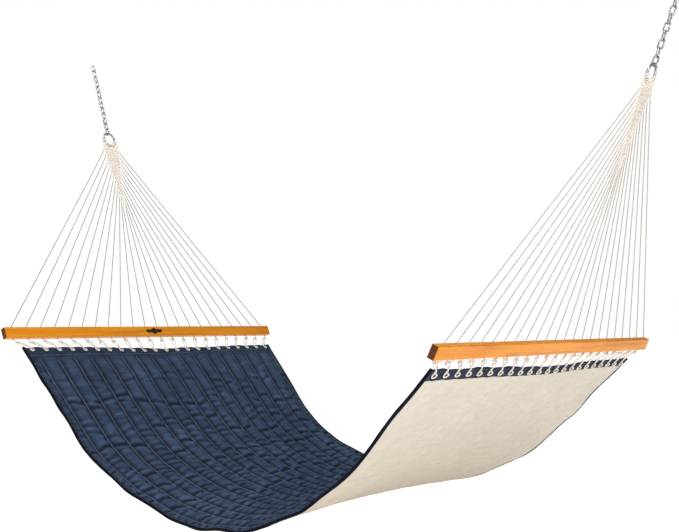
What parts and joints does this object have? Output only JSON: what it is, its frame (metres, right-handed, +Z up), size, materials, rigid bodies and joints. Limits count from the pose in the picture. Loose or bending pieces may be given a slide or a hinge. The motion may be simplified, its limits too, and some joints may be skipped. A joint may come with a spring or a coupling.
{
  "type": "quilted spreader-bar hammock",
  "caption": "Quilted hammock bed, laced to a wooden spreader bar at each end, hung by woven cord clews, steel rings and short chains; it hangs from hooks and has no stand.",
  "frame": {"origin": "the left hang point: inside of the top of the left chain's top link, where it bears on its hook", "axes": "+X towards the right hang point, +Y across the bed, +Z up"},
  "size_m": [2.5926, 1.4, 1.7034],
  "materials": {
    "zinc_steel": "bright zinc plate",
    "cord": "twisted polyester cord",
    "varnished_wood": "honey varnish, darker end grain",
    "bronze": "dark bronze",
    "navy_cloth": "woven polyester, slight sheen",
    "cream_cloth": "plain woven polyester",
    "batting": "polyester fibre filling",
    "binding_tape": "folded woven tape",
    "eyelet_plastic": "cream"
  },
  "bodies": {
    "hook_links": {"chain_link_left_01": "zinc_steel", "chain_link_right_01": "zinc_steel"},
    "swing_links": {"chain_link_left_02": "zinc_steel", "chain_link_right_02": "zinc_steel"},
    "left_clew": {"chain_link_left_03": "zinc_steel", "chain_link_left_04": "zinc_steel", "chain_link_left_05": "zinc_steel", "chain_link_left_06": "zinc_steel", "chain_link_left_07": "zinc_steel", "chain_link_left_08": "zinc_steel", "chain_link_left_09": "zinc_steel", "chain_link_left_10": "zinc_steel", "chain_link_left_11": "zinc_steel", "chain_link_left_12": "zinc_steel", "chain_link_left_13": "zinc_steel", "ring_left": "zinc_steel", "clew_hitches_left": "cord", "clew_weave_left": "cord", "clew_cords_left": "cord", "spreader_bar_left": "varnished_wood", "badge_plate": "bronze", "badge_nails": "bronze"},
    "right_clew": {"chain_link_right_03": "zinc_steel", "chain_link_right_04": "zinc_steel", "chain_link_right_05": "zinc_steel", "chain_link_right_06": "zinc_steel", "chain_link_right_07": "zinc_steel", "chain_link_right_08": "zinc_steel", "chain_link_right_09": "zinc_steel", "chain_link_right_10": "zinc_steel", "chain_link_right_11": "zinc_steel", "chain_link_right_12": "zinc_steel", "chain_link_right_13": "zinc_steel", "ring_right": "zinc_steel", "clew_hitches_right": "cord", "clew_weave_right": "cord", "clew_cords_right": "cord", "spreader_bar_right": "varnished_wood"},
    "bed": {"bed_back_cover": "cream_cloth", "bed_batting": "batting", "bed_top_cover": "navy_cloth", "edge_binding_far": "binding_tape", "edge_binding_near": "binding_tape", "end_hem_left": "navy_cloth", "end_hem_right": "navy_cloth", "end_lacing_left": "cord", "end_lacing_right": "cord", "eyelets_left": "eyelet_plastic", "eyelets_right": "eyelet_plastic"}
  },
  "joints": [
    {"name": "swing", "type": "hinge", "parent": "hook_links", "child": "swing_links", "pos_m": [1.288, 0, -0.02587], "axis": [1, 0, 0], "range_deg": [-30, 30]},
    {"name": "sway", "type": "hinge", "parent": "swing_links", "child": "left_clew", "pos_m": [0.01768, 0, -0.04911], "axis": [0, 1, 0], "range_deg": [-5, 5]},
    {"name": "sway_right", "type": "hinge", "parent": "swing_links", "child": "right_clew", "pos_m": [2.55832, 0, -0.04911], "axis": [0, 1, 0], "range_deg": [-5.1, 5.1]},
    {"name": "bed_tilt", "type": "hinge", "parent": "left_clew", "child": "bed", "pos_m": [0.42144, 0, -1.14825], "axis": [0, 1, 0], "range_deg": [-7.5, 7.5]}
  ],
  "couplings": [
    {"joint": "sway_right", "follows": "sway", "ratio": 1},
    {"joint": "bed_tilt", "follows": "sway", "ratio": -1.4659}
  ]
}
